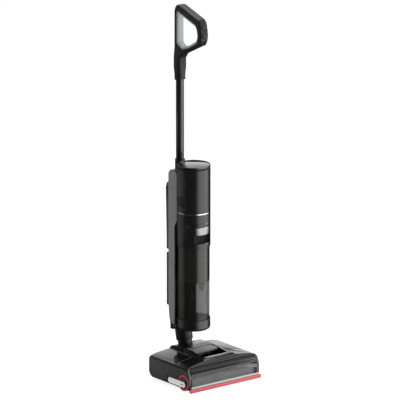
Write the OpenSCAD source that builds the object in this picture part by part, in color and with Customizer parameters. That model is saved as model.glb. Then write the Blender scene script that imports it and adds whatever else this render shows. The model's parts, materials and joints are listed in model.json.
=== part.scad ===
// Upright wet and dry floor scrubber: a low roller head, a leaning neck with a tilt and a
// swivel joint, a round column with the dirty water tank in front and the battery and clean
// water tank behind it, and a thin pole that ends in a loop handle.
// The object stands on z = 0, its front looks along -Y, and x = 0 is its middle.

/* [Overall] */
// Height from the floor to the top of the handle
overall_h = 1110; // [1090:5:1130]
// Width of the front squeegee, the widest part of the head
strip_w = 264.6; // [262.6:0.5:270]
// Depth from the front squeegee to the back of the rear covers
overall_d = 244.8; // [243:0.5:247]

/* [Floor head] */
// Half of the width across the two end walls
head_half = 131; // [131:0.5:131.5]
// Height of the end walls at the front
end_h = 68; // [66:1:70]
// Height of the raised deck at its front edge
top_h = 82; // [81:1:83]
// Half of the width of the raised deck
deck_half = 48; // [47:0.5:49]
// Wall thickness of the head mouldings
head_wall = 2.6; // [2.2:0.2:3]
// Radius of the roller over its pile
roller_r = 24.5; // [23.5:0.5:24.5]
// Radius of the rear wheels
wheel_r = 16; // [15:0.5:17]

/* [Neck] */
// Lean of the neck from upright, in degrees
neck_lean = 13; // [11:1:14]
// Height of the tilt pivot
tilt_z = 54; // [52:1:55]
// Radius of the lower neck
neck_r = 21.5; // [20:0.5:22]

/* [Column] */
// Radius of the round column
column_r = 49.4; // [49:0.2:50]
// Height of the underside of the dirty water tank
tank_z = 142; // [142:1:143]
// Height of the top of the display
display_z = 641.8; // [640:0.2:643]
// Half of the width between the rear side panels
frame_half = 38; // [37.5:0.5:38.5]
// Wall thickness of the column mouldings
column_wall = 2.4; // [2:0.2:2.6]
// Number of outlet slots on each side
vent_count = 7; // [5:1:8]

/* [Pole and handle] */
// Radius of the pole
pole_r = 12; // [11.5:0.5:12]
// Thickness of the handle across the grip
handle_w = 30; // [28:1:31]
// Radius of the two handle buttons
button_r = 8; // [7:0.5:8]

/* [Hidden] */
$fn = 96;

// Clearances: between moving bodies, and radial in a running fit
gap = 0.4;
run = 0.05;
// Length that a cutting tool runs past what it cuts
over = 1;

// Places along the depth
front_y = -overall_d / 2;
back_y = overall_d / 2;
column_y = 32.3;
pole_y = column_y + 65.4;
tilt_y = 66;
head_back_y = 78;
wheel_y = 74;
cap_y = 110;

// Roller and its drive
roller_y = -84;
roller_z = roller_r;
roller_x0 = -117;
roller_x1 = 117;
core_r = 18;
motor_y = -25;
motor_z = 42;
belt_x = 122.5;
belt_w = 5;
wall_x = 118.5;
pulley_r = 14;
pinion_r = 7;

// Heights of the column
shell_z = 175;
head_z = 397;
part_z = 461;
part_slope = 13.5;
housing_z = 632;
frame_z0 = 150;
frame_z1 = 617;
collar_z = 645;

// Neck: positions along its leaning axis, from the tilt pivot
collar_s = 44;
spigot_s = 62;

// ---------------------------------------------------------------- helpers

// Cylinder along X from x0 to x1 at a place in Y and Z
module rod_x(r, x0, x1, y, z) {
    translate([x0, y, z]) rotate([0, 90, 0]) cylinder(r = r, h = x1 - x0);
}

// Box between two corners
module box(a, b) {
    translate(a) cube(b - a);
}

// Outline in Y and Z, extruded along X from x0 to x1
module side_extrude(x0, x1) {
    translate([x0, 0, 0]) rotate([90, 0, 90]) linear_extrude(x1 - x0) children();
}

// Places what is drawn along Z on the leaning axis of the neck
module on_neck() {
    translate([0, tilt_y, tilt_z]) rotate([-neck_lean, 0, 0]) children();
}

// Places what is drawn on Z at the middle of the column
module on_column() {
    translate([0, column_y, 0]) children();
}

// Rectangle with four rounded corners
module round_rect(w, d, r) {
    square([w - 2 * r, d], center = true);
    square([w, d - 2 * r], center = true);
    for (sx = [-1, 1], sy = [-1, 1])
        translate([sx * (w / 2 - r), sy * (d / 2 - r)]) circle(r = r);
}

// Half-space under the slanted parting plane between tank and motor housing
module below_parting(shift) {
    on_column() translate([0, 0, part_z + shift]) rotate([-part_slope, 0, 0])
        translate([0, 0, -300]) cylinder(r = 200, h = 300);
}

// Small pan-head screw that points along +Z, with its head below z = 0
module screw(length) {
    cylinder(r = 1.4, h = length);
    translate([0, 0, -1.6]) cylinder(r = 2.8, h = 1.6);
}

// ---------------------------------------------------------------- floor head

// Form of the head: front view and side view crossed, all faces pulled in by t
module head_form(t, front) {
    half = [
        [head_half - t, end_h - 4], [head_half - 4.5 - t / 2, end_h + 2 - t],
        [105, end_h + 7.5 - t], [deck_half + 10 - t / 4, end_h + 12 - t],
        [deck_half - 1 - t / 2, 94]
    ];
    intersection() {
        translate([0, 130, 0]) rotate([90, 0, 0]) linear_extrude(300) polygon(concat(
            [[-head_half + t, -20], [head_half - t, -20]],
            half,
            [for (i = [len(half) - 1 : -1 : 0]) [-half[i][0], half[i][1]]]
        ));
        side_extrude(-head_half - over, head_half + over) polygon([
            [-101 + t, 8], [front + t, 14], [front + t, 46], [-103 + t, 69 - t / 2],
            [-89 + t / 2, top_h - t], [-73, top_h + 2.5 - t], [-20, top_h + 9 - t],
            [30, top_h + 10 - t], [62, top_h + 8.5 - t], [head_back_y - 3 - t, top_h + 5 - t],
            [head_back_y - t, 70], [head_back_y + 2 - t, 60], [head_back_y + 2 - t, 22],
            [head_back_y - 8 - t / 2, 8]
        ]);
    }
}

// Space that the removable roller cover fills, widened by g
module cover_zone(g) {
    box([-121.5 - g, -140, 47 - g], [121.5 + g, -40 + g, 120]);
    box([-62 - g, -60, 60], [62 + g, 14 + g, 120]);
}

// Slot at the back of the head in which the neck tilts
module neck_slot() {
    box([-36.5, 44, -over], [36.5, 100, 76]);
    translate([0, 77.5, 70]) cylinder(r = 28.5, h = 40);
    box([-28.5, 77.5, 70], [28.5, 100, 110]);
}

// Openings for the two rear wheels
module wheel_wells() {
    for (s = [-1, 1])
        box([s * 45 - 12, 54, -over], [s * 45 + 12, 100, 35]);
}

// Round way in the left end wall through which the roller is pulled out
module roller_way(r) {
    rod_x(r, -head_half - over, -119, roller_y, roller_z);
}

// Arm that carries one end of a wheel axle, w thick to each side of x
module wheel_arm(x, w) {
    box([x - w, 60, 6], [x + w, wheel_y, 20]);
    rod_x(6, x - w, x + w, wheel_y, wheel_r);
}

module base_plate() {
    color("dimgray") difference() {
        union() {
            box([-127, -50, 6], [127, 70, 9.5]);
            box([-90, -40, 5], [90, 45, 6]);
            for (s = [-1, 1]) {
                box([s * 124 - 4, -116, 6], [s * 124 + 4, -49, 8.2]);
                wheel_arm(s * 35.1, 1);
                wheel_arm(s * 55.4, 1.3);
            }
            box([-128, -116, 6], [128, -111.6, 13]);
        }
        roller_way(roller_r + 0.8);
        for (s = [-1, 1]) {
            box([s * 45 - 8.8, 54, 0], [s * 45 + 8.8, 84, 24]);
            rod_x(3, s * 45 - 14, s * 45 + 14, wheel_y, wheel_r);
        }
    }
}

module head_housing() {
    color("#141416") difference() {
        union() {
            difference() {
                head_form(0, -107);
                head_form(head_wall, -107);
                box([-122, -140, -over], [118.5, -54, 200]);
            }
            intersection() {
                head_form(0, -113.5);
                box([-head_half, -140, 0], [-122.5, 100, 100]);
            }
            intersection() {
                head_form(0, -107.4);
                box([wall_x, -140, 0], [wall_x + 3, 100, 100]);
            }
            intersection() {
                difference() {
                    head_form(0, -113.5);
                    head_form(head_wall, -113.5);
                }
                box([wall_x + 3.3, -140, 0], [128, -50, 100]);
            }
        }
        box([-150, -150, -over], [150, 150, 9.6]);
        cover_zone(gap);
        neck_slot();
        wheel_wells();
        roller_way(roller_r + 0.8);
        box([-head_half - over, -68, 9], [-127.6, -9, 30]);
        box([128, -150, -over], [150, 150, 120]);
        rod_x(6 + run, 110, 125, roller_y, roller_z);
        rod_x(4, 110, 125, motor_y, motor_z);
    }
}

module belt_cover() {
    color("#161618") difference() {
        intersection() {
            head_form(0, -113.5);
            box([128.2, -140, 9.6], [head_half, 100, 100]);
        }
        translate([head_half - 0.6, roller_y, roller_z]) rotate([0, 90, 0])
            cylinder(r = 20, h = 5);
    }
}

module roller_bay() {
    color("#202022") difference() {
        box([-119, -58, 9.6], [117, -52, 58]);
        rod_x(roller_r + 3, -125, 125, roller_y, roller_z);
        box([-40, -62, 20], [40, -45, 34]);
    }
    color("#202022") difference() {
        union() {
            box([-42, -52, 18], [42, -49, 36]);
            box([-20, -49, 24], [20, 30, 50]);
        }
        box([-40, -60, 20], [40, -48, 34]);
        box([-17.5, -56, 26.5], [17.5, 40, 47.5]);
    }
}

module pivot_bracket() {
    color("#2b2b2e") difference() {
        union() {
            for (s = [-1, 1]) {
                rod_x(14, s * 31 - 3, s * 31 + 3, tilt_y, tilt_z);
                box([s * 31 - 3, tilt_y - 14, 9.5], [s * 31 + 3, tilt_y + 4, tilt_z]);
            }
            box([-34, 46, 9.5], [34, 70, 14]);
        }
        for (s = [-1, 1])
            rod_x(6, s * 31 - 4, s * 31 + 4, tilt_y, tilt_z);
    }
}

module pivot_pins() {
    color("silver") for (s = [-1, 1])
        rod_x(6, s * 25.5 - 9.5, s * 25.5 + 9.5, tilt_y, tilt_z);
}

module roller_motor() {
    color("gray") {
        rod_x(15, 62, wall_x - 0.2, motor_y, motor_z);
        rod_x(5, 56, 62, motor_y, motor_z);
        box([70, motor_y - 13, 9.5], [110, motor_y + 13, motor_z - 8]);
    }
}

// Belt outline round both pulleys, outside them by t
module belt_outline(t) {
    hull() {
        translate([roller_y, roller_z]) circle(r = pulley_r + t, $fn = 48);
        translate([motor_y, motor_z]) circle(r = pinion_r + t, $fn = 32);
    }
}

module drive_belt() {
    color("#101010") side_extrude(belt_x, belt_x + belt_w) difference() {
        belt_outline(1.8);
        belt_outline(0.4);
    }
}

module spray_bar() {
    color("#8a8f92") difference() {
        union() {
            rod_x(3, -112, 112, -62, 56);
            for (i = [-4 : 4])
                box([i * 25 - 2, -63.5, 51.5], [i * 25 + 2, -60.5, 55]);
            for (s = [-1, 1])
                box([s * 88 - 3, -62, 54], [s * 88 + 3, -58, 57]);
        }
        rod_x(1.8, -110, 110, -62, 56);
    }
}

module roller_scraper() {
    color("#8b1f2c") side_extrude(-116, 115) polygon([
        [-58, 44], [-58, 48.6], [-64.5, 43.6], [-63.6, 42]
    ]);
}

module rear_squeegee() {
    color("#1c1c1e") {
        box([-116, -54, 2], [116, -51.5, 9.5]);
        box([-116, -54, 7.5], [116, -50.1, 9.5]);
    }
}

module front_squeegee() {
    color("#d4485a") union() {
        box([-strip_w / 2, front_y, 3], [strip_w / 2, -116, 11.2]);
        box([-strip_w / 2, front_y + 1, 0.8], [strip_w / 2, front_y + 3.4, 3]);
    }
}

module front_lip() {
    color("#c9d2d0") side_extrude(-126, 126) polygon([
        [-121.4, 13], [-113.8, 13], [-113.8, 14.8], [-116.5, 15.5], [-120, 18.6], [-121.4, 18.6]
    ]);
}

module wheel_axles() {
    color("silver") for (s = [-1, 1])
        rod_x(3, s * 45 - 11, s * 45 + 11, wheel_y, wheel_r);
}

module charging_contacts() {
    color("#c8a84a") for (s = [-1, 1])
        translate([s * 12, 60, 5.6]) cylinder(r = 4, h = 0.4);
}

module head_screws() {
    color("silver") for (x = [-110, 110], y = [-42, 50])
        translate([x, y, 7.6]) screw(10);
    color("silver") for (x = [-72, 72])
        translate([x, 50, 7.6]) screw(10);
}

// ---------------------------------------------------------------- roller cover

// Front band of the cover, from the flat top down to the window
module cover_band(t) {
    side_extrude(-121.5, 121.5) polygon([
        [-113.6 + t, 47], [-112 + t, 54], [-103 + t, 69.5 - t / 2], [-89 + t / 3, 82 - t],
        [-84, 120], [20, 120], [20, 30], [-90, 30], [-100, 47]
    ]);
}

// Recess in the cover for the release flap and the fingers
module release_recess(g) {
    linear_extrude(200) polygon([
        [-43 - g, -76 - g], [43 + g, -76 - g], [45 + g, 6 + g], [-45 - g, 6 + g]
    ]);
}

module roller_cover() {
    color("#121214") difference() {
        union() {
            intersection() {
                difference() {
                    head_form(0, -140);
                    head_form(head_wall, -140);
                }
                cover_zone(0);
                cover_band(0);
            }
            intersection() {
                head_form(0, -140);
                difference() {
                    cover_band(0);
                    cover_band(head_wall);
                }
                box([-121.5, -140, 47], [121.5, -80, 90]);
            }
            intersection() {
                head_form(0.5, -140);
                translate([0, 0, 60]) difference() {
                    release_recess(2);
                    translate([0, 0, 2.2]) release_recess(0);
                }
                box([-62, -90, 60], [62, 14, 120]);
            }
        }
        translate([0, 0, 62.2]) release_recess(0);
    }
}

module front_window() {
    color([0.25, 0.27, 0.28, 0.5]) {
        side_extrude(-121.4, 121.4) polygon([
            [-113.6, 46.8], [-117, 40], [-118.9, 32], [-119.6, 24], [-119.6, 19.2],
            [-117.8, 19.2], [-117.8, 24], [-117.1, 31.6], [-115.4, 39.2], [-111.8, 46.8]
        ]);
        for (x = [-121.4, 119.6])
            side_extrude(x, x + 1.8) polygon([
                [-113.6, 46.8], [-117, 40], [-118.9, 32], [-119.6, 24], [-119.6, 19.2],
                [-112, 19.2], [-109.4, 28], [-108.2, 46.8]
            ]);
    }
}

module cover_release() {
    color("#8d9294") intersection() {
        head_form(1, -140);
        union() {
            translate([0, 0, 82]) linear_extrude(40) polygon([
                [-43.5, -30], [43.5, -30], [44.4, 5.4], [-44.4, 5.4]
            ]);
            box([-40, -4, 66], [40, 2, 84]);
        }
    }
}

// ---------------------------------------------------------------- roller

module roller_end_cap() {
    color("#18181a") {
        rod_x(19.8, -128.2, -119, roller_y, roller_z);
        rod_x(roller_r, -126, -118, roller_y, roller_z);
        rod_x(5, -118, -106, roller_y, roller_z);
    }
}

module roller_end_ring() {
    color("#c93c50") difference() {
        rod_x(24, -130.4, -126, roller_y, roller_z);
        rod_x(20, -132, -124, roller_y, roller_z);
        box([-133, -71, 10.6], [-120, -50, 28.4]);
    }
}

module roller_pull_tab() {
    color("#c9cccd") difference() {
        translate([-131.8, 0, 0]) side_extrude(0, 3.6) translate([-53, 19.5])
            round_rect(80, 17, 8);
        box([-133, -86, 18.4], [-131.2, -74, 20.4]);
    }
}

module roller_core() {
    color("#3a3d40") difference() {
        rod_x(core_r, roller_x0, roller_x1, roller_y, roller_z);
        rod_x(core_r - 3, roller_x0 + 8, roller_x1 - 7, roller_y, roller_z);
        rod_x(5 + run, roller_x0 - over, roller_x0 + 12, roller_y, roller_z);
        translate([roller_x1 - 8, roller_y, roller_z]) rotate([0, 90, 0])
            cylinder(r = 10.4, h = 10, $fn = 6);
    }
}

module roller_pile() {
    color("#6f7477") difference() {
        rod_x(roller_r, roller_x0 + 1, roller_x1 - 1, roller_y, roller_z);
        rod_x(core_r, roller_x0 - over, roller_x1 + over, roller_y, roller_z);
    }
}

module roller_pulley() {
    color("#4a4d50") {
        translate([110.5, roller_y, roller_z]) rotate([0, 90, 0])
            cylinder(r = 10, h = 7.6, $fn = 6);
        rod_x(6, 118, belt_x, roller_y, roller_z);
        rod_x(pulley_r, belt_x, belt_x + belt_w, roller_y, roller_z);
    }
}

module motor_pulley() {
    color("#4a4d50") {
        rod_x(pinion_r, belt_x, belt_x + belt_w, motor_y, motor_z);
        rod_x(3, 118.6, belt_x, motor_y, motor_z);
    }
}

// ---------------------------------------------------------------- wheels

module wheel(s) {
    color("#2a2a2c") difference() {
        rod_x(wheel_r, s * 45 - 7, s * 45 + 7, wheel_y, wheel_r);
        rod_x(3 + run, s * 45 - 9, s * 45 + 9, wheel_y, wheel_r);
        for (e = [-1, 1])
            difference() {
                rod_x(12, s * 45 + e * 7 - 2, s * 45 + e * 7 + 2, wheel_y, wheel_r);
                rod_x(5.5, s * 45 + e * 7 - 3, s * 45 + e * 7 + 3, wheel_y, wheel_r);
            }
    }
}

module wheel_left() { wheel(-1); }

module wheel_right() { wheel(1); }

// ---------------------------------------------------------------- neck

module neck_lower() {
    color("#17171a") difference() {
        union() {
            rod_x(18, -27.4, 27.4, tilt_y, tilt_z);
            on_neck() cylinder(r = neck_r, h = collar_s);
            on_neck() cylinder(r = 16, h = spigot_s);
        }
        for (s = [-1, 1])
            rod_x(6 + run, s * 22 - 6.5, s * 22 + 6.5, tilt_y, tilt_z);
        on_neck() cylinder(r = 12, h = spigot_s + over);
        rod_x(12, -12, 12, tilt_y, tilt_z);
        box([-10, tilt_y - 30, tilt_z - 14], [10, tilt_y, tilt_z - 2]);
    }
}

module neck_upper() {
    color("#17171a") difference() {
        union() {
            intersection() {
                on_neck() translate([0, 0, collar_s + gap]) cylinder(r = 25, h = 60);
                box([-40, 0, 60], [40, 120, tank_z - 0.8]);
            }
            intersection() {
                on_neck() translate([0, 0, collar_s + 20]) cylinder(r = 25, h = 60);
                box([-40, column_y + column_r + 0.8, 60], [40, 110, frame_z0]);
            }
            box([-37.5, 84, 132], [37.5, 97.5, frame_z0]);
        }
        on_neck() cylinder(r = 16 + run, h = spigot_s + 0.6);
        on_neck() cylinder(r = 11, h = spigot_s + 14);
        translate([0, 64, tank_z - 14]) cylinder(r = 9, h = 30);
    }
}

// ---------------------------------------------------------------- column

// Plan of the rear frame between z0 and z1, starting at y0
module frame_block(y0, z0, z1) {
    difference() {
        box([-frame_half, y0, z0], [frame_half, 98, z1]);
        on_column() translate([0, 0, z0 - over])
            cylinder(r = column_r + 0.5, h = z1 - z0 + 2 * over);
    }
}

module frame_core() {
    color("#101012") difference() {
        union() {
            frame_block(72.3, frame_z0, 462);
            frame_block(60.3, 462, frame_z1);
            translate([0, pole_y, 562]) cylinder(r = 15.5, h = frame_z1 - 562);
            translate([0, pole_y, frame_z1]) cylinder(r = 14.8, h = collar_z - frame_z1);
        }
        box([-35.8, 86, 372], [35.8, 120, 562]);
        box([-36.4, 86, 199], [36.4, 120, 367]);
        box([-21, 85, 156], [21, 97, 192]);
        translate([0, pole_y, 571]) cylinder(r = pole_r + run, h = 100);
        translate([0, pole_y, 634]) rotate([90, 0, -60]) cylinder(r = 3.1, h = 20);
    }
}

// Outline of a grey side panel, in Y and Z
module panel_outline() {
    difference() {
        union() {
            polygon([
                [60.3, 606], [60.3, 472], [72.3, 452], [72.3, 152], [78, 150], [88, 152],
                [96, 162], [99, 178], [101, 205], [101, 606]
            ]);
            translate([70.3, 606]) intersection() {
                circle(r = 10);
                translate([-10, 0]) square([10, 10]);
            }
            translate([91, 606]) intersection() {
                circle(r = 10);
                square([10, 10]);
            }
            translate([70.3, 600]) square([20.7, 16]);
        }
        translate([60.3 - 12, 440]) square([12, 20]);
    }
}

module side_panel(s) {
    x0 = s > 0 ? frame_half + 0.1 : -frame_half - 3.5;
    color("#7a7e80") difference() {
        side_extrude(x0, x0 + 3.4) panel_outline();
        on_column() translate([0, 0, 440]) cylinder(r = column_r + 0.1, h = 200);
    }
}

module side_panel_left() { side_panel(-1); }

module side_panel_right() { side_panel(1); }

// Upright box with two rounded rear edges, in plan
module rear_plan(half, y0, y1, r) {
    translate([-half, y0]) square([2 * half, y1 - r - y0]);
    translate([-half + r, y0]) square([2 * (half - r), y1 - y0]);
    for (s = [-1, 1])
        translate([s * (half - r), y1 - r]) circle(r = r);
}

// Rear cover solid with a rounded top edge at the back
module rear_solid(half, y1, z0, z1, r) {
    intersection() {
        translate([0, 0, z0]) linear_extrude(z1 - z0) rear_plan(half, 86.6, y1, 8);
        side_extrude(-half, half) union() {
            translate([80, z0]) square([y1 - 80, z1 - r - z0]);
            translate([80, z0]) square([y1 - r - 80, z1 - z0]);
            translate([y1 - r, z1 - r]) circle(r = r);
        }
    }
}

module battery_cover() {
    color("#121214") difference() {
        rear_solid(35.4, back_y, 372.5, 561.5, 3);
        rear_solid(33, back_y - column_wall, 375, 559, 3);
        box([-40, 80, 360], [40, 98.2, 570]);
    }
    color("#121214") intersection() {
        rear_solid(35.4, back_y, 555, 578, 14);
        difference() {
            box([-40, 98.6, 561], [40, 130, 580]);
            translate([0, pole_y, 550]) cylinder(r = 15.8, h = 40);
        }
    }
}

module battery_cells() {
    color("#3f7f5a") for (i = [-1, 0, 1], z = [378, 452])
        translate([i * 21.9, 100, z]) cylinder(r = 10.8, h = 70);
}

module water_pump() {
    color("#4d5256") {
        translate([-16, 91, 164]) rotate([0, 90, 0]) cylinder(r = 5, h = 8);
        box([-8, 86, 158], [18, 96, 188]);
    }
}

// Slots in the column wall, centred on the side that s names
module vents(s) {
    for (i = [0 : vent_count - 1])
        rotate([0, 0, (i - (vent_count - 1) / 2) * 7.2 + (s > 0 ? 0 : 180)])
            translate([40, -1.4, 519]) cube([15, 2.8, 32]);
}

module motor_housing() {
    color("#1b1b1d") difference() {
        on_column() union() {
            translate([0, 0, 440]) cylinder(r = column_r, h = housing_z - 440);
            translate([0, 0, housing_z - over])
                cylinder(r = column_r - 2.2, h = 4.6 + over);
        }
        on_column() {
            translate([0, 0, 400]) cylinder(r = column_r - column_wall, h = 84);
            translate([0, 0, 487]) cylinder(r = column_r - column_wall, h = 141);
            translate([0, 0, 480]) cylinder(r = 14, h = 10);
            translate([0, 0, 498.4]) difference() {
                cylinder(r = column_r + over, h = 3.2);
                translate([0, 0, -over]) cylinder(r = column_r - 0.8, h = 6);
            }
            vents(-1);
            vents(1);
        }
        below_parting(0);
    }
}

module display_bezel() {
    color("#d5d8d8") on_column() translate([0, 0, display_z - 5]) difference() {
        cylinder(r = column_r, h = 5);
        translate([0, 0, -over]) cylinder(r = column_r - 2.4, h = 7);
    }
}

module display_glass() {
    color("#1a1c1e") on_column() translate([0, 0, display_z - 5])
        cylinder(r = column_r - 2.5, h = 4.2);
}

module accent_band() {
    color("#cfd2d3") difference() {
        on_column() translate([0, 0, 498.5]) difference() {
            cylinder(r = column_r + 0.3, h = 3);
            translate([0, 0, -over]) cylinder(r = column_r - 0.7, h = 5);
        }
        box([-60, 59, 490], [60, 100, 510]);
    }
}

module suction_motor() {
    color("#54585c") on_column() difference() {
        union() {
            translate([0, 0, 520]) cylinder(r = 36, h = 62);
            translate([0, 0, 514.5]) cylinder(r = column_r - column_wall - 0.1, h = 5.5);
            translate([0, 0, 582]) cylinder(r = 14, h = 8);
        }
        translate([0, 0, 514]) cylinder(r = 4 + run, h = 26);
    }
}

module frame_screws() {
    color("silver") for (x = [-26, 26], z = [392, 540])
        translate([x, back_y - 1.8, z]) rotate([90, 0, 0]) screw(8);
}

module impeller() {
    color("#9aa0a3") on_column() {
        translate([0, 0, 492]) cylinder(r = 4, h = 40);
        translate([0, 0, 509]) cylinder(r = 34, h = 2.5);
        for (i = [0 : 8])
            rotate([0, 0, i * 40]) translate([6, -1, 496]) rotate([0, 0, 25])
                cube([26, 2, 13.5]);
        translate([0, 0, 494]) cylinder(r = 10, h = 15);
    }
}

// ---------------------------------------------------------------- dirty water tank

module tank_head() {
    half = 29;
    color("#1b1b1d") difference() {
        on_column() translate([0, 0, head_z]) cylinder(r = column_r, h = 100);
        difference() {
            on_column() translate([0, 0, head_z - over])
                cylinder(r = column_r - column_wall, h = 100);
            box([-half - 3, -30, 406], [half + 3, column_y - 27, 500]);
            difference() {
                box([-60, -60, 300], [60, 120, 600]);
                below_parting(-gap - 3);
            }
        }
        difference() {
            on_column() translate([0, 0, 300]) cylinder(r = 200, h = 400);
            below_parting(-gap);
        }
        box([-half, -30, 410], [half, column_y - 30, 436]);
        box([-half, -30, 435.5], [half, column_y - 36, 460]);
    }
}

module tank_shell() {
    color([0.2, 0.21, 0.22, 0.45]) on_column() translate([0, 0, shell_z]) difference() {
        cylinder(r = 47, h = head_z - shell_z);
        translate([0, 0, -over]) cylinder(r = 45, h = head_z - shell_z + 2 * over);
    }
}

module tank_base() {
    r = column_r - 0.4;
    e = 9;
    color("#232326") difference() {
        on_column() union() {
            translate([0, 0, tank_z]) rotate_extrude() polygon(concat(
                [[0, 0]],
                [for (a = [-90 : 10 : 0]) [r - e + e * cos(a), e + e * sin(a)]],
                [[r, shell_z - tank_z], [r - 3, shell_z - tank_z]],
                [for (a = [0 : -10 : -90]) [r - e + 6 * cos(a), e + 6 * sin(a)]],
                [[0, 3]]
            ));
            translate([0, 26, tank_z + 1]) cylinder(r = 11, h = 168);
        }
        on_column() translate([0, 26, tank_z - over]) cylinder(r = 9, h = 172);
    }
}

module separator() {
    color("#2c2e31") on_column() difference() {
        union() {
            difference() {
                translate([0, 0, 290]) cylinder(r = 40, h = 111);
                translate([0, 0, 293]) cylinder(r = 37.5, h = 105);
                translate([0, 4, 395]) cylinder(r = 12, h = 10);
            }
            difference() {
                translate([0, 0, 393]) cylinder(r = 44.8, h = 3);
                translate([0, 0, 392]) cylinder(r = 39, h = 5);
            }
            translate([0, 26, 290]) cylinder(r = 13.4, h = 40);
            translate([18, -16, 258]) cylinder(r = 2, h = 33);
            translate([18, -16, 256]) cylinder(r = 3.6, h = 2.5);
        }
        translate([0, 26, 280]) cylinder(r = 11.6, h = 60);
    }
}

module filter_cartridge() {
    pleats = 32;
    color("#d8d8d0") on_column() translate([0, 4, 404]) difference() {
        union() {
            linear_extrude(34) polygon([for (i = [0 : 2 * pleats - 1])
                let (a = i * 180 / pleats, r = i % 2 == 0 ? 26 : 22.5)
                    [r * cos(a), r * sin(a)]]);
            translate([0, 0, -3]) cylinder(r = 28, h = 3);
            translate([0, 0, 34]) cylinder(r = 27, h = 3);
        }
        translate([0, 0, -4]) cylinder(r = 12, h = 36);
    }
}

module tank_float() {
    color("#d9c9a0") on_column() translate([18, -16, 262]) difference() {
        cylinder(r = 8.5, h = 18);
        translate([0, 0, -over]) cylinder(r = 2.4, h = 20);
    }
}

module tank_latch() {
    color("#c2c5c8") intersection() {
        on_column() translate([0, 0, 436.3]) cylinder(r = column_r - 0.2, h = 23.3);
        box([-28.4, -30, 436.3], [28.4, column_y - 40.5, 459.6]);
    }
}

// ---------------------------------------------------------------- clean water tank

module clean_tank() {
    color("#16181a") difference() {
        rear_solid(35.4, back_y, 201, 362, 6);
        difference() {
            rear_solid(33.4, back_y - 2, 203, 360, 5);
            box([-40, 106, 334], [40, 130, 354]);
        }
        box([-40, 108, 336.4], [40, 130, 351.6]);
        translate([0, cap_y, 195]) cylinder(r = 8.6, h = 12);
    }
}

module clean_tank_cap() {
    color("#c23a4c") union() {
        translate([0, cap_y, 197.4]) cylinder(r = 11, h = 3.2);
        translate([0, cap_y, 200.6]) cylinder(r = 8.2, h = 6);
        box([-9, cap_y - 1.4, 194.4], [9, cap_y + 1.4, 197.4]);
    }
}

module clean_tank_button() {
    color("#a33449") intersection() {
        rear_solid(35.4, back_y, 300, 400, 6);
        box([-40, 112.4, 336.8], [40, 130, 351.2]);
    }
}

// ---------------------------------------------------------------- pole and handle

module pole_tube() {
    color("#0c0c0e") translate([0, pole_y, 0]) difference() {
        translate([0, 0, 573]) cylinder(r = pole_r, h = 350);
        translate([0, 0, 572]) cylinder(r = pole_r - 1.6, h = 352);
        translate([0, 0, 634]) rotate([90, 0, -60]) cylinder(r = 3.5, h = 20);
    }
}

module pole_button() {
    color("#3c3c40") translate([0, pole_y, 634]) rotate([90, 0, -60])
        translate([0, 0, 12.5]) cylinder(r = 2.8, h = 3.2);
}

// Outer outline of the loop handle; the first number runs back from the pole's axis
module handle_outline() {
    translate([pole_y, 0]) offset(r = 9, $fn = 32) offset(delta = -9) polygon([
        [14.5, 884], [14.5, 950], [10.5, 985], [10.2, 1090], [6, 1103], [-2, overall_h],
        [-14, overall_h], [-102, 1081.5], [-112, 1070], [-117.7, 1040], [-116, 1020], [-108, 1004],
        [-100, 1001.5], [-26, 965.5], [-14.5, 950], [-14.5, 884]
    ]);
}

// Opening of the loop, pulled in by t from the edge at the faces
module handle_opening(t) {
    translate([pole_y, 0]) offset(r = 6, $fn = 24) offset(delta = -6 - t) polygon([
        [3.2, 1090], [3.2, 992], [-23, 977.5], [-60, 990], [-96, 1010], [-103.6, 1030],
        [-99.5, 1052], [-91, 1065.5], [-8, 1092]
    ]);
}

// Round hole for a handle button, or the button itself, along its press direction
module handle_button(rel, z, r, from, to) {
    translate([0, pole_y + rel, z]) rotate([90 - 7.6, 0, 0]) translate([0, 0, from])
        cylinder(r = r, h = to - from);
}

module handle_half(s) {
    x0 = s > 0 ? 0.05 : -handle_w / 2;
    color("#1d1e20") difference() {
        side_extrude(x0, x0 + handle_w / 2 - 0.05) difference() {
            handle_outline();
            handle_opening(0);
        }
        side_extrude(-handle_w / 2 + 2.6, handle_w / 2 - 2.6) difference() {
            offset(delta = -2.6) handle_outline();
            offset(delta = 2.6) handle_opening(0);
            translate([pole_y - 40, 880]) square([80, 60]);
        }
        translate([0, pole_y, 880]) cylinder(r = pole_r + run, h = 43.1);
        handle_button(-114.5, 1059, button_r + 0.3, -6, 8);
        handle_button(-117, 1035, button_r + 0.3, -6, 8);
    }
}

module handle_left() { handle_half(-1); }

module handle_right() { handle_half(1); }

module handle_liner() {
    color("#9ea3a4") side_extrude(-11, 11) difference() {
        handle_opening(0.2);
        handle_opening(8);
    }
}

module power_button() {
    color("#0a0a0b") handle_button(-114.5, 1059, button_r, -4, 1.2);
}

module mode_button() {
    color("#0a0a0b") handle_button(-117, 1035, button_r, -4, 1.2);
}

base_plate();
head_housing();
belt_cover();
roller_bay();
pivot_bracket();
pivot_pins();
roller_motor();
drive_belt();
spray_bar();
roller_scraper();
rear_squeegee();
front_squeegee();
front_lip();
wheel_axles();
charging_contacts();
head_screws();
roller_cover();
front_window();
cover_release();
roller_end_cap();
roller_end_ring();
roller_pull_tab();
roller_core();
roller_pile();
roller_pulley();
motor_pulley();
wheel_left();
wheel_right();
neck_lower();
neck_upper();
frame_core();
side_panel_left();
side_panel_right();
battery_cover();
battery_cells();
water_pump();
motor_housing();
display_bezel();
display_glass();
accent_band();
suction_motor();
frame_screws();
impeller();
tank_head();
tank_shell();
tank_base();
separator();
filter_cartridge();
tank_float();
tank_latch();
clean_tank();
clean_tank_cap();
clean_tank_button();
pole_tube();
handle_left();
handle_right();
handle_liner();
power_button();
mode_button();
pole_button();
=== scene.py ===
# Upright wet and dry floor scrubber, dressed from the floor up around its CAD frame.
import json
import math

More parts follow.
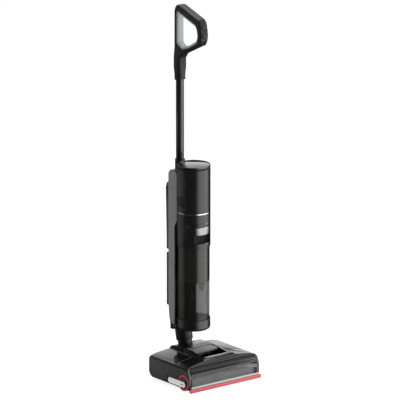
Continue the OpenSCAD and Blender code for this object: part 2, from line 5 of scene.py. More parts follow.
import bmesh
import bpy
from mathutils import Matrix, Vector

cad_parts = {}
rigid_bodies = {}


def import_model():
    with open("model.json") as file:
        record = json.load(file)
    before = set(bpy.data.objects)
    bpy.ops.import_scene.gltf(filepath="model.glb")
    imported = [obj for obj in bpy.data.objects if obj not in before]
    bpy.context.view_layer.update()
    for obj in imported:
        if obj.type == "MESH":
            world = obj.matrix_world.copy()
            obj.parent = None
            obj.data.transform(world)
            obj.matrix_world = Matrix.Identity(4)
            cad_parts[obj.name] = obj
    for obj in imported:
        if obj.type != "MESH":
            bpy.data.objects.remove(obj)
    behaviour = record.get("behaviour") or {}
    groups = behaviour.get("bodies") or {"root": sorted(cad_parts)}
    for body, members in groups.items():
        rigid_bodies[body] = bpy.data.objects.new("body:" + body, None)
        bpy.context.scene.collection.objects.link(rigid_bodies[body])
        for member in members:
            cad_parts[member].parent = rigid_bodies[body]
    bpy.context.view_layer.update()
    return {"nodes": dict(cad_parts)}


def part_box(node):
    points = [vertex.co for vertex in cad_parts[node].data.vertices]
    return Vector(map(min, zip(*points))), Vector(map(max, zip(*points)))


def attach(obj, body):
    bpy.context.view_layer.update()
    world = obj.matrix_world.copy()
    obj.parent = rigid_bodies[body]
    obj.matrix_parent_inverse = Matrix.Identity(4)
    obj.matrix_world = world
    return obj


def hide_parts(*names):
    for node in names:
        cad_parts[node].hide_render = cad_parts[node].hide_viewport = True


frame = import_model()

scene = bpy.context.scene
NODES = frame["nodes"]


# ------------------------------------------------------------------ studio
# A plain pale floor that glows a little, under a sky that the camera sees as white. For light
# and reflections the sky has four soft bright patches, the strongest at the front right, and
# soft panels on the right, overhead and on the left add to them.

class Wire:
    """Output of a shader node. Arithmetic on it adds Math nodes."""

    def __init__(self, socket):
        self.socket = socket

    def node(self, kind, settings=None, inputs=None, output=0):
        made = self.socket.id_data.nodes.new(kind)
        for name, value in (settings or {}).items():
            setattr(made, name, value)
        for name, value in (inputs or {}).items():
            if isinstance(value, Wire):
                self.socket.id_data.links.new(value.socket, made.inputs[name])
            else:
                made.inputs[name].default_value = value
        return Wire(made.outputs[output]) if made.outputs else None

    def math(self, operation, *values, clamp=False):
        return self.node("ShaderNodeMath", {"operation": operation, "use_clamp": clamp},
                         dict(enumerate(values)))

    def __add__(self, other):
        return self.math("ADD", self, other)

    def __sub__(self, other):
        return self.math("SUBTRACT", self, other)

    def __rsub__(self, other):
        return self.math("SUBTRACT", other, self)

    def __mul__(self, other):
        return self.math("MULTIPLY", self, other)

    __radd__ = __add__
    __rmul__ = __mul__

    def __lt__(self, other):
        return self.math("LESS_THAN", self, other)

    def clip(self):
        return self.math("ADD", self, 0.0, clamp=True)

    def ramp(self, low, high):
        """0 below low, 1 above high, smooth between them."""
        return self.node("ShaderNodeMapRange", {"interpolation_type": "SMOOTHSTEP"},
                         {"Value": self, "From Min": low, "From Max": high})

    def part(self, number):
        return self.node("ShaderNodeSeparateXYZ", inputs={"Vector": self}, output=number)

    def noise(self, size, detail=2.0, rough=0.5, stretch=None):
        """Noise from 0 to 1 whose features are about size metres across."""
        place = self
        if stretch:
            place = self.node("ShaderNodeVectorMath", {"operation": "MULTIPLY"},
                              {0: self, 1: stretch})
        return place.node("ShaderNodeTexNoise", None,
                          {"Vector": place, "Scale": 1 / size, "Detail": detail,
                           "Roughness": rough})

    def mix(self, first, second):
        """Colour first where this is 0 and second where it is 1."""
        full = [c if isinstance(c, Wire) or len(c) == 4 else (*c, 1) for c in (first, second)]
        return self.node("ShaderNodeMix", {"data_type": "RGBA"},
                         {0: self, 6: full[0], 7: full[1]}, output=2)


def new_finish(name):
    """A material without a shader yet, and the Object coordinates in it."""
    made = bpy.data.materials.new(name)
    made.use_nodes = True
    made.node_tree.nodes.clear()
    return made, Wire(made.node_tree.nodes.new("ShaderNodeTexCoord").outputs["Object"])


def shade(made, place, bump=None, depth=0.0001, **sockets):
    """Ends a material: one Principled shader, and a Bump node where there is a height."""
    values = {name.replace("_", " "): value for name, value in sockets.items()}
    if bump is not None:
        values["Normal"] = place.node("ShaderNodeBump", None,
                                      {"Height": bump, "Distance": depth, "Strength": 1.0})
    shader = place.node("ShaderNodeBsdfPrincipled", None, values)
    place.node("ShaderNodeOutputMaterial", None, {"Surface": shader})
    return made


def clear_selection():
    if bpy.context.object and bpy.context.object.mode != "OBJECT":
        bpy.ops.object.mode_set(mode="OBJECT")
    bpy.ops.object.select_all(action="DESELECT")


clear_selection()
bpy.ops.mesh.primitive_plane_add(size=30, location=(0, 0, 0))
floor = bpy.context.object
floor.name = "studio_floor"
floor.visible_glossy = False
made, place = new_finish("studio_floor_paint")
floor.data.materials.append(shade(
    made, place, Base_Color=place.noise(0.4).mix((0.29, 0.29, 0.29), (0.31, 0.31, 0.31)),
    Roughness=0.8, Emission_Color=(1, 1, 1, 1), Emission_Strength=0.86))

world = bpy.data.worlds.new("studio_sky")
scene.world = world
world.use_nodes = True
world.node_tree.nodes.clear()
direction = Wire(world.node_tree.nodes.new("ShaderNodeTexCoord").outputs["Generated"])


def soft_wall(toward, low, high, strength):
    """A bright patch of the sky round one direction."""
    facing = direction.node("ShaderNodeVectorMath", {"operation": "DOT_PRODUCT"},
                            {0: direction, 1: toward}, output=1)
    return facing.ramp(low, high) * strength


sky_glow = 0.035
walls = (soft_wall((0.56, 0.76, 0.30), 0.70, 0.97, 0.85)
         + soft_wall((0.529, -0.849, -0.1), 0.55, 0.95, 2.1)
         + soft_wall((0.58, -0.27, 0.76), 0.88, 0.99, 1.1)
         + soft_wall((-0.642, 0.767, 0.0), 0.75, 0.95, 0.32) + sky_glow)
lit = direction.node("ShaderNodeCombineColor", None, {0: walls, 1: walls, 2: walls})
sight = direction.node("ShaderNodeLightPath")
sky = direction.node("ShaderNodeBackground", None,
                     {"Color": sight.mix(lit, (1, 1, 1)), "Strength": 1.0})
direction.node("ShaderNodeOutputWorld", None, {"Surface": sky})


def soft_panel(name, spot, aim, width, height, power):
    """A rectangular lamp at one spot, turned to face another."""
    data = bpy.data.lights.new(name, "AREA")
    data.shape = "RECTANGLE"
    data.size = width
    data.size_y = height
    data.energy = power
    lamp = bpy.data.objects.new(name, data)
    scene.collection.objects.link(lamp)
    lamp.location = spot
    lamp.rotation_euler = (Vector(aim) - Vector(spot)).to_track_quat("-Z", "Y").to_euler()


soft_panel("light_right", (2.6, -1.5, 1.3), (0, 0, 0.6), 0.5, 2.4, 30)
soft_panel("light_top", (0.3, 0.6, 3.4), (0, 0, 0.3), 3.0, 3.0, 70)
soft_panel("light_left", (-2.8, -0.2, 1.6), (0, 0, 0.4), 1.2, 1.8, 6)

camera = bpy.data.objects.new("camera", bpy.data.cameras.new("camera"))
scene.collection.objects.link(camera)
scene.camera = camera
camera.location = (-8.10326, -10.34681, 4.0929)
camera_aim = Vector((-0.00929, -0.00933, 0.5431))
camera.rotation_euler = (camera_aim - camera.location).to_track_quat("-Z", "Y").to_euler()
camera.data.lens = 418.9
camera.data.sensor_width = 36
camera.data.clip_end = 60
scene.view_settings.view_transform = "Standard"


# ------------------------------------------------------------------ base plate
# The underside is one flat ABS moulding with a raised docking pad, two charging contacts and
# six domed screws. Plastic parts have a fine spark-eroded grain and faint rub marks.

def moulded(name, colour, rough, grain=0.0007, depth=0.00001, gloss=0.0, drift=0.25, mark=0.05,
            shine=0.5):
    """Moulded plastic or rubber: fine grain, faint clouds of colour, and rub marks."""
    made, place = new_finish(name)
    cloud = place.noise(0.045, 3)
    fine = place.noise(grain, 2)
    rub = place.noise(0.009, 5, 0.6, stretch=(1, 1, 0.25)).ramp(0.60, 0.80)
    light = tuple(min(1, c * (1 + drift) + 0.002) for c in colour)
    worn = tuple(min(1, c * 1.5 + 0.006) for c in colour)
    return shade(made, place, bump=fine, depth=depth,
                 Base_Color=(rub * 0.6).mix(cloud.mix(colour, light), worn),
                 Roughness=cloud * 0.06 + rub * mark + (rough - 0.03),
                 Coat_Weight=gloss, Coat_Roughness=0.05, Specular_IOR_Level=shine)


def metal(name, colour, rough, brush=(1, 1, 1), size=0.0005, depth=0.000004):
    """Plated or brushed metal, with hair lines where brush stretches the pattern."""
    made, place = new_finish(name)
    hair = place.noise(size, 3, 0.6, stretch=brush)
    cloud = place.noise(0.02, 2)
    dull = tuple(c * 0.82 for c in colour)
    return shade(made, place, bump=hair, depth=depth, Metallic=1.0,
                 Base_Color=hair.ramp(0.3, 0.7).mix(dull, colour),
                 Roughness=cloud * 0.08 + hair * 0.08 + (rough - 0.08))


def dress(finish, *names):
    """Gives CAD nodes their finish."""
    for name in names:
        node = NODES[name]
        node.data.materials.clear()
        node.data.materials.append(finish)


def settle(name, finish, body, nodes=()):
    """The active object becomes a finished piece, with its place in its mesh."""
    piece = bpy.context.object
    piece.name = name
    clear_selection()
    piece.select_set(True)
    bpy.ops.object.transform_apply(location=True, rotation=True, scale=True)
    piece.data.materials.clear()
    piece.data.materials.append(finish)
    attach(piece, body)
    if nodes:
        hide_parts(*nodes)
    return piece


def add_block(low, high):
    clear_selection()
    bpy.ops.mesh.primitive_cube_add(size=1, location=[(a + b) / 2 for a, b in zip(low, high)],
                                    scale=[b - a for a, b in zip(low, high)])
    bpy.ops.object.transform_apply(location=True, rotation=True, scale=True)
    return bpy.context.object


def add_rod(radius, start, end, sides=64):
    clear_selection()
    axis = Vector(end) - Vector(start)
    bpy.ops.mesh.primitive_cylinder_add(vertices=sides, radius=radius, depth=axis.length,
                                        location=(Vector(start) + Vector(end)) / 2,
                                        rotation=axis.to_track_quat("Z", "Y").to_euler())
    bpy.ops.object.transform_apply(location=True, rotation=True, scale=True)
    return bpy.context.object


def pick(piece, mode, test):
    """In edit mode, selects the faces or edges that pass a test, and nothing else."""
    clear_selection()
    piece.select_set(True)
    bpy.context.view_layer.objects.active = piece
    bpy.ops.object.mode_set(mode="EDIT")
    bpy.ops.mesh.select_mode(type=mode)
    bpy.ops.mesh.select_all(action="DESELECT")
    shape = bmesh.from_edit_mesh(piece.data)
    shape.normal_update()
    for item in shape.edges if mode == "EDGE" else shape.faces:
        item.select = bool(test(item))
    shape.select_flush_mode()
    bmesh.update_edit_mesh(piece.data)


def is_sharp(edge, limit=25):
    return len(edge.link_faces) == 2 and edge.calc_face_angle(0) > math.radians(limit)


def soften(piece, width, steps=3, test=is_sharp, angle=35):
    """Rounds the sharp edges that pass a test, and smooths the shading."""
    pick(piece, "EDGE", test)
    bpy.ops.mesh.bevel(offset=width, segments=steps, affect="EDGES", clamp_overlap=False)
    bpy.ops.object.mode_set(mode="OBJECT")
    bpy.ops.object.shade_smooth_by_angle(angle=math.radians(angle))
    return piece


def carve(piece, tool, operation="DIFFERENCE"):
    """Cuts one mesh out of another, and removes the cutter."""
    cutter = piece.modifiers.new("carve", "BOOLEAN")
    cutter.operation = operation
    cutter.solver = "EXACT"
    cutter.object = tool
    clear_selection()
    bpy.context.view_layer.objects.active = piece
    piece.select_set(True)
    bpy.ops.object.modifier_apply(modifier="carve")
    bpy.data.objects.remove(tool)
    return piece


dark_plastic = moulded("dark_grey_abs", (0.040, 0.040, 0.043), 0.5, depth=0.00003)
dress(dark_plastic, "base_plate")
contact_brass = metal("plated_contacts", (0.80, 0.60, 0.28), 0.25)
dress(contact_brass, "charging_contacts")
screw_steel = metal("zinc_screws", (0.60, 0.60, 0.61), 0.32)


def domed_screw(name, spot, facing, body, node=()):
    """Pan head with a cross recess, facing outwards along one axis."""
    radius, sunk, proud = 0.0028, 0.001, 0.0006
    slot_long, slot_wide, slot_deep = 0.0036, 0.0008, 0.0016
    spot, facing = Vector(spot), Vector(facing)
    head = add_rod(radius, spot - facing * sunk, spot + facing * proud, 32)
    soften(head, 0.0006, 3)
    side = Vector((1, 0, 0))
    other = facing.cross(side)
    for long, short in ((side, other), (other, side)):
        size = [max(abs(slot_long * a), abs(slot_wide * b), abs(slot_deep * c))
                for a, b, c in zip(long, short, facing)]
        middle = spot + facing * proud
        carve(head, add_block([m - s / 2 for m, s in zip(middle, size)],
                              [m + s / 2 for m, s in zip(middle, size)]))
    bpy.context.view_layer.objects.active = head
    return settle(name, screw_steel, body, node)


for number, (x, y) in enumerate(((-0.110, -0.042), (-0.110, 0.050), (0.110, -0.042),
                                 (0.110, 0.050), (-0.072, 0.050), (0.072, 0.050))):
    domed_screw(f"underside_screw_{number + 1}", (x, y, 0.006), (0, 0, -1), "floor_head",
                ["head_screws"] if number == 0 else ())


# ------------------------------------------------------------------ squeegees and lip
# A soft red blade with fine moulded flutes runs along the front, under a frosted clear lip.
# A thin black rubber blade behind the roller wipes the floor dry.

def cast(name, node, finish, body, round_off=0.0005, steps=2, limit=30):
    """A new piece that starts as a clean copy of a CAD node and stands for it."""
    piece = bpy.data.objects.new(name, NODES[node].data.copy())
    scene.collection.objects.link(piece)
    pick(piece, "FACE", lambda face: True)
    bpy.ops.mesh.remove_doubles(threshold=0.000003)
    bpy.ops.mesh.dissolve_limited(angle_limit=math.radians(0.5))
    bpy.ops.object.mode_set(mode="OBJECT")
    if round_off:
        soften(piece, round_off, steps, lambda edge: is_sharp(edge, limit))
    bpy.context.view_layer.objects.active = piece
    return settle(name, finish, body, [node])


def fluted_rubber(name, colour, pitch, axis):
    """Rubber with fine ribs, a pitch apart along one axis, and a paler mottle; its colour also
    carries painted light: paler rib tops, darker grooves and a paler top edge.
    """
    made, place = new_finish(name)
    phase = place.part(axis) * (2 * math.pi / pitch)
    wave = phase.math("SINE", phase)
    fine = place.noise(0.0008, 2)
    cloud = place.noise(0.0045, 4, 0.7).ramp(0.38, 0.68)
    # Painted highlight: the blade's top edge, from 6 to 10 mm up, is painted paler, as if lit from
    # the front.
    painted_lit_top = place.part(2).ramp(0.0060, 0.0100)
    mottle_and_lit_pale = tuple(min(1, c * 1.3 + 0.16) for c in colour)
    # The colour follows the ribs too, paler on their tops and darker in the grooves: painted shade.
    return shade(made, place, bump=wave * 0.5 + fine * 0.35, depth=0.00012,
                 Base_Color=(wave * 0.10 + cloud * 0.30 + painted_lit_top * 0.35).clip().mix(colour, mottle_and_lit_pale),
                 Roughness=cloud * 0.12 + 0.42)


red_rubber = fluted_rubber("fluted_red_rubber", (0.56, 0.045, 0.068), 0.0022, 0)
cast("front_squeegee_blade", "front_squeegee", red_rubber, "floor_head", 0.0006)
black_rubber = moulded("black_rubber", (0.018, 0.018, 0.018), 0.62, grain=0.0012, depth=0.00003)
cast("rear_squeegee_blade", "rear_squeegee", black_rubber, "floor_head", 0.0004)

made, place = new_finish("frosted_clear")
haze = place.noise(0.006, 3)
frosted = shade(made, place, bump=place.noise(0.0008, 2), depth=0.00002,
                Base_Color=haze.mix((0.62, 0.66, 0.66), (0.74, 0.77, 0.77)),
                Roughness=haze * 0.1 + 0.16, Alpha=haze * 0.12 + 0.62)
cast("clear_front_lip", "front_lip", frosted, "floor_head", 0.0005)


# ------------------------------------------------------------------ rear wheels
# Two wheels on steel axles in the base plate's arms. Each has a soft rubber tyre with three
# fine tread grooves, and a grey moulded hub with five round pockets in each face.

axle_steel = metal("ground_steel", (0.62, 0.62, 0.63), 0.22, brush=(0.1, 1, 1))
dress(axle_steel, "wheel_axles", "pivot_pins")
hub_grey = moulded("hub_plastic", (0.10, 0.10, 0.105), 0.45, depth=0.00002)
wheel_radius, wheel_half, tyre_bore = 0.016, 0.007, 0.0120
groove_half, groove_floor, groove_outside = 0.0004, 0.0151, 0.0175
hub_radius, hub_half, axle_hole = 0.0121, 0.0058, 0.00305
pockets, pocket_radius, pocket_ring = 5, 0.0026, 0.0077
through = 0.01
out = Vector((1, 0, 0))
for name in ("left", "right"):
    low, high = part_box(f"wheel_{name}")
    middle = (Vector(low) + Vector(high)) / 2
    tyre = add_rod(wheel_radius, middle - out * wheel_half, middle + out * wheel_half, 72)
    soften(tyre, 0.0014, 3)
    for groove in (-0.0035, 0, 0.0035):
        ring = add_rod(groove_outside, middle + out * (groove - groove_half),
                       middle + out * (groove + groove_half), 72)
        carve(ring, add_rod(groove_floor, middle + out * (groove - 0.001),
                            middle + out * (groove + 0.001), 72))
        carve(tyre, ring)
    carve(tyre, add_rod(tyre_bore, middle - out * through, middle + out * through, 64))
    bpy.context.view_layer.objects.active = tyre
    bpy.ops.object.shade_smooth_by_angle(angle=math.radians(35))
    settle(f"wheel_tyre_{name}", black_rubber, f"wheel_{name}", [f"wheel_{name}"])
    hub = add_rod(hub_radius, middle - out * hub_half, middle + out * hub_half, 64)
    carve(hub, add_rod(axle_hole, middle - out * through, middle + out * through, 32))
    for pocket in range(pockets):
        turn = pocket * 2 * math.pi / pockets
        spot = middle + Vector((0, math.cos(turn), math.sin(turn))) * pocket_ring
        for face in (-1, 1):
            carve(hub, add_rod(pocket_radius, spot + out * face * 0.0025,
                               spot + out * face * 0.008, 24))
    bpy.context.view_layer.objects.active = hub
    soften(hub, 0.0003, 2)
    settle(f"wheel_hub_{name}", hub_grey, f"wheel_{name}")


# ------------------------------------------------------------------ roller
# A moulded core with a drive pulley on its right end, in a sleeve of short fleece. The sleeve
# is a rod whose surface is pushed in and out by fine noise, so the pile shows tufts.

core_plastic = moulded("core_plastic", (0.13, 0.13, 0.135), 0.45, depth=0.00002)
dress(core_plastic, "roller_core", "roller_pulley", "motor_pulley")
made, place = new_finish("roller_fleece")
tuft = place.noise(0.0022, 4, 0.6)
strand = place.noise(0.0009, 3, 0.7, stretch=(0.5, 1, 1))
damp = place.noise(0.03, 3)
fleece = shade(made, place, bump=tuft * 0.6 + strand * 0.5, depth=0.0016,
               Base_Color=(strand * 0.5 + damp * 0.5).clip().mix((0.20, 0.202, 0.208),
                                                                 (0.80, 0.805, 0.82)),
               Roughness=strand * 0.1 + 0.86)

roller_y, roller_z = -0.084, 0.0245
pile_half, pile_radius, pile_bore = 0.116, 0.0244, 0.0182
pile = add_rod(pile_radius, (-pile_half, roller_y, roller_z), (pile_half, roller_y, roller_z), 180)
pick(pile, "EDGE", lambda edge: abs(edge.verts[0].co.x - edge.verts[1].co.x) > 0.1)
bpy.ops.mesh.subdivide(number_cuts=170)
bpy.ops.object.mode_set(mode="OBJECT")
grain = bpy.data.textures.new("fleece_tufts", "CLOUDS")
grain.noise_scale = 0.0035
grain.noise_depth = 3
tufted = pile.modifiers.new("tufts", "DISPLACE")
tufted.texture = grain
tufted.texture_coords = "LOCAL"
tufted.strength = 0.0022
tufted.mid_level = 0.95
bpy.ops.object.modifier_apply(modifier="tufts")
carve(pile, add_rod(pile_bore, (-0.2, roller_y, roller_z), (0.2, roller_y, roller_z), 64))
bpy.context.view_layer.objects.active = pile
bpy.ops.object.shade_smooth_by_angle(angle=math.radians(50))
settle("roller_fleece_sleeve", fleece, "roller", ["roller_pile"])


# ------------------------------------------------------------------ roller drive
# Motor, toothed belt and pulleys in the right end, the spray bar above the roller, and the
# scraper strip that wrings the pile, all inside the head.

can_metal = metal("zinc_plated_can", (0.45, 0.46, 0.48), 0.35, brush=(0.15, 1, 1))
dress(can_metal, "roller_motor")
dress(fluted_rubber("belt_rubber", (0.015, 0.015, 0.016), 0.004, 1), "drive_belt")
dress(black_rubber, "roller_scraper")
dress(dark_plastic, "pivot_bracket", "roller_bay", "spray_bar")


# ------------------------------------------------------------------ roller holder
# Cap that carries the roller's free end, with a glossy red C ring round its middle and a
# silver pull tab lying on the end wall. The tab has one small dark slot near the front.

gloss_black = moulded("gloss_black_plastic", (0.0060, 0.0060, 0.0064), 0.16, 0.002, 0.000004, 0.6)
gloss_red = moulded("gloss_red_plastic", (0.62, 0.035, 0.060), 0.2, 0.002, 0.000005, 0.7)
satin_silver = moulded("satin_silver_plastic", (0.90, 0.90, 0.91), 0.3, 0.0008, 0.000012, 0.3, 0.08)

cast("holder_cap", "roller_end_cap", gloss_black, "roller_holder", 0)
cast("holder_red_ring", "roller_end_ring", gloss_red, "roller_holder", 0.0004, 2, 50)
cast("holder_pull_tab", "roller_pull_tab", satin_silver, "roller_holder",
     0.0009, 3, 50)
slot_mark = add_block((-0.1317, -0.0860, 0.0184), (-0.1311, -0.0740, 0.0204))
soften(slot_mark, 0.0001, 2)
settle("tab_slot_mark", gloss_black, "roller_holder")


# ------------------------------------------------------------------ floor head
# Glossy black housing with a raised centre deck, a belt cover on the right and a lift-off
# roller cover with a smoked window and a push tab in the deck's recess.

cast("head_shell", "head_housing", gloss_black, "floor_head", 0.0012, 3, 20)
cast("belt_cover_shell", "belt_cover", gloss_black, "floor_head", 0.0012, 3, 20)
made, place = new_finish("cover_black")
height = place.part(2)
cloud = place.noise(0.05, 3)
# The lacquer is full between heights of 50 and 52.5 mm and above 72 mm.
band = (height.ramp(0.0485, 0.0500) + height.ramp(0.0540, 0.0525) + height.ramp(0.0700, 0.0720)
        - 1.0).clip()
cover_black = shade(made, place, bump=place.noise(0.003, 2), depth=0.000004,
                    Base_Color=cloud.mix((0.0058, 0.0058, 0.0062), (0.0085, 0.0085, 0.0090)),
                    Roughness=cloud * 0.05 + 0.14, Coat_Weight=band * 0.7, Coat_Roughness=0.06,
                    Specular_IOR_Level=0.28)
cover = cast("roller_cover_shell", "roller_cover", cover_black, "roller_cover", 0)
soften(cover, 0.0035, 4, lambda edge: is_sharp(edge, 15) and edge.calc_length() > 0.05
       and edge.verts[0].co.y < -0.085 and min(v.co.z for v in edge.verts) > 0.060)
# Each groove runs right across the front, from one height to another and back to a depth.
for low, high, depth in ((0.0690, 0.0703, -0.1000), (0.0574, 0.0584, -0.1064),
                         (0.0465, 0.0490, -0.1098)):
    carve(cover, add_block((-0.1225, -0.1300, low), (0.1225, depth, high)))
soften(cover, 0.0010, 3, lambda edge: is_sharp(edge, 20)
       and not 0.0574 < (edge.verts[0].co.z + edge.verts[1].co.z) / 2 < 0.0584)
# A light grey bead along the recess's front edge and its right side is a painted highlight,
# standing in for the light caught by the rim's rounded edge.
highlight_bead_run = None
route = ((-0.0425, -0.0768, 0.0848), (0.0430, -0.0768, 0.0848), (0.0448, -0.0200, 0.0916),
         (0.0456, 0.0040, 0.0922))
for start, end in zip(route, route[1:]):
    highlight_bead_piece = add_rod(0.0009, start, end, 12)
    if highlight_bead_run:
        carve(highlight_bead_piece, highlight_bead_run, "UNION")
    highlight_bead_run = highlight_bead_piece
bpy.context.view_layer.objects.active = highlight_bead_run
# The bead's light grey is a painted highlight on the rim.
settle("recess_painted_highlight_bead", moulded("painted_rim_highlight", (0.66, 0.67, 0.68), 0.28),
       "roller_cover")
panel_grey = moulded("grey_panel_plastic", (0.165, 0.172, 0.176), 0.42, 0.0008, 0.000012, 0.15)
cast("cover_release_flap", "cover_release", panel_grey, "cover_release",
     0.0008, 3, 30)

made, place = new_finish("smoked_window")
stain = place.noise(0.02, 4)
window_clear = shade(made, place, bump=place.noise(0.004, 2), depth=0.00001,
                     Base_Color=stain.mix((0.012, 0.012, 0.013), (0.030, 0.031, 0.032)),
                     Roughness=stain * 0.05 + 0.05, Alpha=stain * 0.12 + 0.22)
cast("front_window_pane", "front_window", window_clear, "roller_cover",
     0.0004, 2, 30)


# ------------------------------------------------------------------ neck
# A hinged lower half in the head and an upper half that turns on it, in satin black.

satin_black = moulded("satin_black_plastic", (0.0080, 0.0080, 0.0085), 0.34, 0.0010, 0.000012, 0.05,
                      shine=0.28)
dress(satin_black, "neck_lower")
cast("neck_collar", "neck_upper", satin_black, "column", 0.0006, 2, 40)


# ------------------------------------------------------------------ column frame
# Black spine with a grey side panel on each flank, the battery under a screwed rear cover and
# the clean water tank below it, with a red release button and a filler cap.

cast("column_spine", "frame_core", satin_black, "column", 0.0006, 2, 40)
for side in ("left", "right"):
    cast(f"flank_panel_{side}", f"side_panel_{side}", panel_grey, "column",
         0.0011, 3, 25)
cast("battery_cover_shell", "battery_cover", gloss_black, "column", 0.0016, 3, 30)
cast("clean_tank_shell", "clean_tank", gloss_black, "clean_tank", 0.0016, 3, 30)
deep_red = moulded("deep_red_plastic", (0.20, 0.018, 0.035), 0.3, 0.002, 0.000005)
cast("clean_tank_release", "clean_tank_button", deep_red, "clean_tank_button",
     0.0010, 3, 30)
dress(dark_plastic, "clean_tank_cap", "water_pump")
dress(metal("cell_wrap", (0.10, 0.28, 0.40), 0.4), "battery_cells")
dress(screw_steel, "frame_screws")


# ------------------------------------------------------------------ motor housing
# Gloss black drum with slots for the exhaust air and a suction motor and its impeller inside.
# A bright band runs round it, and a dark glass display lies on top in a thin dark bezel.

made, place = new_finish("drum_black")
cloud = place.noise(0.05, 3)
ripple = place.noise(0.006, 3, 0.6, stretch=(1, 1, 0.08))
# The inside of the drum's wall is dull, so that the slots look deep.
drum_y, wall_inside = 0.0323, 0.0486
across, back = place.part(0), place.part(1) - drum_y
inside = (across * across + back * back) < wall_inside ** 2
drum_black = shade(made, place, bump=ripple, depth=0.000006,
                   Base_Color=cloud.mix((0.0062, 0.0062, 0.0066), (0.0095, 0.0095, 0.0100)),
                   Roughness=cloud * 0.06 + inside * 0.6 + 0.24,
                   Coat_Weight=inside * -0.35 + 0.35, Coat_Roughness=0.08)
cast("motor_drum", "motor_housing", drum_black, "column", 0)
dress(can_metal, "suction_motor", "impeller")
bright_trim = metal("bright_trim", (0.72, 0.73, 0.75), 0.12, size=0.002)
dark_trim = metal("dark_trim", (0.10, 0.10, 0.105), 0.3, size=0.002)
dress(bright_trim, "accent_band")
dress(dark_trim, "display_bezel")
made, place = new_finish("display_glass")
smear = place.noise(0.03, 4, stretch=(1, 0.3, 1))
display_black = shade(made, place, bump=place.noise(0.01, 2), depth=0.000004,
                      Base_Color=smear.mix((0.02, 0.02, 0.021), (0.035, 0.035, 0.036)),
                      Roughness=smear * 0.06 + 0.05, Coat_Weight=1.0, Coat_Roughness=0.03)
cast("display_disc", "display_glass", display_black, "column", 0.0005, 2, 50)


# ------------------------------------------------------------------ dirty water tank
# Smoked see-through shell between a black head and a black base, with the separator, its
# float and the pleated filter inside. A bright latch in the head's recess lets it out.

cast("tank_head_cap", "tank_head", drum_black, "dirty_tank", 0.0005, 2, 50)
cast("tank_base_cup", "tank_base", drum_black, "dirty_tank", 0)
made, place = new_finish("smoked_tank")
stain = place.noise(0.03, 4, stretch=(1, 1, 0.4))
# The shell is denser above a height of about 0.29 m.
high = place.part(2).ramp(0.286, 0.296)
smoked = shade(made, place, bump=place.noise(0.012, 2), depth=0.000008,
               Base_Color=stain.mix((0.010, 0.010, 0.009), (0.020, 0.019, 0.016)),
               Roughness=stain * 0.05 + 0.07, Alpha=(high * 0.48 + stain * 0.08 + 0.42).clip(),
               Coat_Weight=0.3, Coat_Roughness=0.05)
cast("tank_shell_tube", "tank_shell", smoked, "dirty_tank", 0)
inner_grey = moulded("inner_plastic", (0.50, 0.48, 0.42), 0.5, 0.001, 0.00002)
dress(inner_grey, "separator")
dress(moulded("float_plastic", (0.55, 0.50, 0.38), 0.5), "tank_float")
dress(moulded("filter_paper", (0.45, 0.44, 0.40), 0.9, 0.0006, 0.0001), "filter_cartridge")
latch_chrome = metal("latch_chrome", (0.30, 0.31, 0.32), 0.20, size=0.003)
cast("latch_button", "tank_latch", latch_chrome, "tank_latch", 0.0012, 4, 30)


# ------------------------------------------------------------------ pole
# A thin gloss black tube that drops into the column and locks with a sprung button.

cast("pole_shaft", "pole_tube", gloss_black, "pole", 0)
dress(dark_plastic, "pole_button")


# ------------------------------------------------------------------ loop handle
# Two half shells joined round the pole's end, made here as one piece, with a light grey liner
# in the grip opening and two round buttons on the front. The stem flares a little upwards.

def outlines(node, side):
    """Outer and inner outline of the flat face a CAD node has in the plane x = side."""
    outer = bpy.data.objects.new(node + "_outline", NODES[node].data.copy())
    scene.collection.objects.link(outer)
    pick(outer, "FACE", lambda face: True)
    bpy.ops.mesh.remove_doubles(threshold=0.00001)
    bpy.ops.object.mode_set(mode="OBJECT")
    pick(outer, "FACE",
         lambda face: face.normal.x < -0.99 and abs(face.calc_center_median().x - side) < 0.0001)
    bpy.ops.mesh.region_to_loop()
    bpy.ops.mesh.select_all(action="INVERT")
    bpy.ops.mesh.delete(type="EDGE")
    bpy.ops.object.mode_set(mode="OBJECT")
    lowest = min(vertex.co.z for vertex in outer.data.vertices) + 0.0003
    pick(outer, "EDGE", lambda edge: min(v.co.z for v in edge.verts) < lowest)
    bpy.ops.mesh.select_linked()
    bpy.ops.mesh.select_all(action="INVERT")
    bpy.ops.mesh.separate(type="SELECTED")
    bpy.ops.object.mode_set(mode="OBJECT")
    return outer, next(piece for piece in bpy.context.selected_objects if piece != outer)


def rise(piece, start, end):
    """Fills the closed outline of a piece and extrudes it from one x to another."""
    for vertex in piece.data.vertices:
        vertex.co.x = start
    pick(piece, "EDGE", lambda edge: True)
    bpy.ops.mesh.edge_face_add()
    bpy.ops.mesh.select_all(action="SELECT")
    bpy.ops.mesh.extrude_region_move(TRANSFORM_OT_translate={"value": (end - start, 0, 0)})
    bpy.ops.mesh.select_all(action="SELECT")
    bpy.ops.mesh.normals_make_consistent(inside=False)
    bpy.ops.object.mode_set(mode="OBJECT")


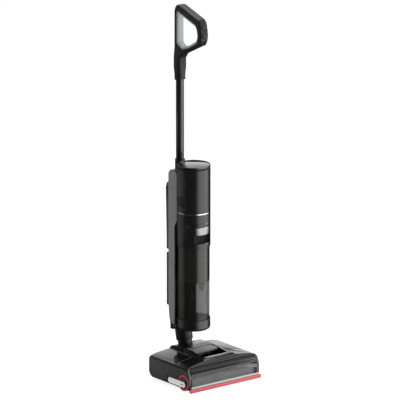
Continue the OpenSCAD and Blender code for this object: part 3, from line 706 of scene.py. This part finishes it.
loop_half, pole_y, stem_radius, stem_flare = 0.015, 0.0977, 0.0161, 1.40
handle, opening = outlines("handle_left", -loop_half)
rise(handle, -loop_half, loop_half)
rise(opening, -0.020, 0.020)
soften(handle, 0.0060, 6, lambda edge: is_sharp(edge, 60)
       and abs(edge.verts[0].co.x - edge.verts[1].co.x) < 0.001
       and max(v.co.z for v in edge.verts) > 0.886)
carve(handle, opening)
core = add_rod(stem_radius, (0, pole_y, 0.870), (0, pole_y, 0.9000), 90)
pick(core, "FACE", lambda face: face.normal.z > 0.9)
bpy.ops.mesh.extrude_region_move(TRANSFORM_OT_translate={"value": (0, 0, 0.065)})
bpy.ops.transform.resize(value=(stem_flare, stem_flare, 1.0))
bpy.ops.object.mode_set(mode="OBJECT")
stem_cutter = add_block((-0.0203, 0.0775, 0.8800), (0.0203, 0.1179, 0.9560))
carve(stem_cutter, core)
carve(handle, stem_cutter)
press = Vector((0, -0.99122, 0.13226))
pit_radius, pit_depth = 0.0093, 0.0068
for y, z in ((-0.0168, 1.059), (-0.0193, 1.035)):
    spot = Vector((0, y, z))
    carve(handle, add_rod(pit_radius, spot - press * pit_depth, spot + press * 0.009, 64))
pick(handle, "FACE", lambda face: True)
bpy.ops.mesh.quads_convert_to_tris(ngon_method="BEAUTY")
bpy.ops.object.mode_set(mode="OBJECT")
soften(handle, 0.0007, 2, lambda edge: is_sharp(edge, 50), 40)
bpy.context.view_layer.objects.active = handle
settle("loop_handle", satin_black, "pole", ["handle_left", "handle_right"])

liner_half = 0.011
liner, hollow = outlines("handle_liner", -liner_half)
rise(liner, -liner_half, liner_half)
rise(hollow, -0.020, 0.020)
carve(liner, hollow)
pick(liner, "FACE", lambda face: True)
bpy.ops.mesh.quads_convert_to_tris(ngon_method="BEAUTY")
bpy.ops.object.mode_set(mode="OBJECT")
soften(liner, 0.0024, 5, lambda edge: is_sharp(edge, 60)
       and abs(edge.verts[0].co.x - edge.verts[1].co.x) < 0.001)
bpy.context.view_layer.objects.active = liner
settle("grip_liner", moulded("grip_liner_grey", (0.34, 0.36, 0.365), 0.5, 0.0008, 0.00002),
       "pole", ["handle_liner"])
key_black = moulded("key_black", (0.0040, 0.0040, 0.0042), 0.12, 0.002, 0.000004, 0.1, shine=0.3)
for name, node in (("power_key", "power_button"), ("mode_key", "mode_button")):
    cast(name, node, key_black, node, 0.0010, 3, 50)
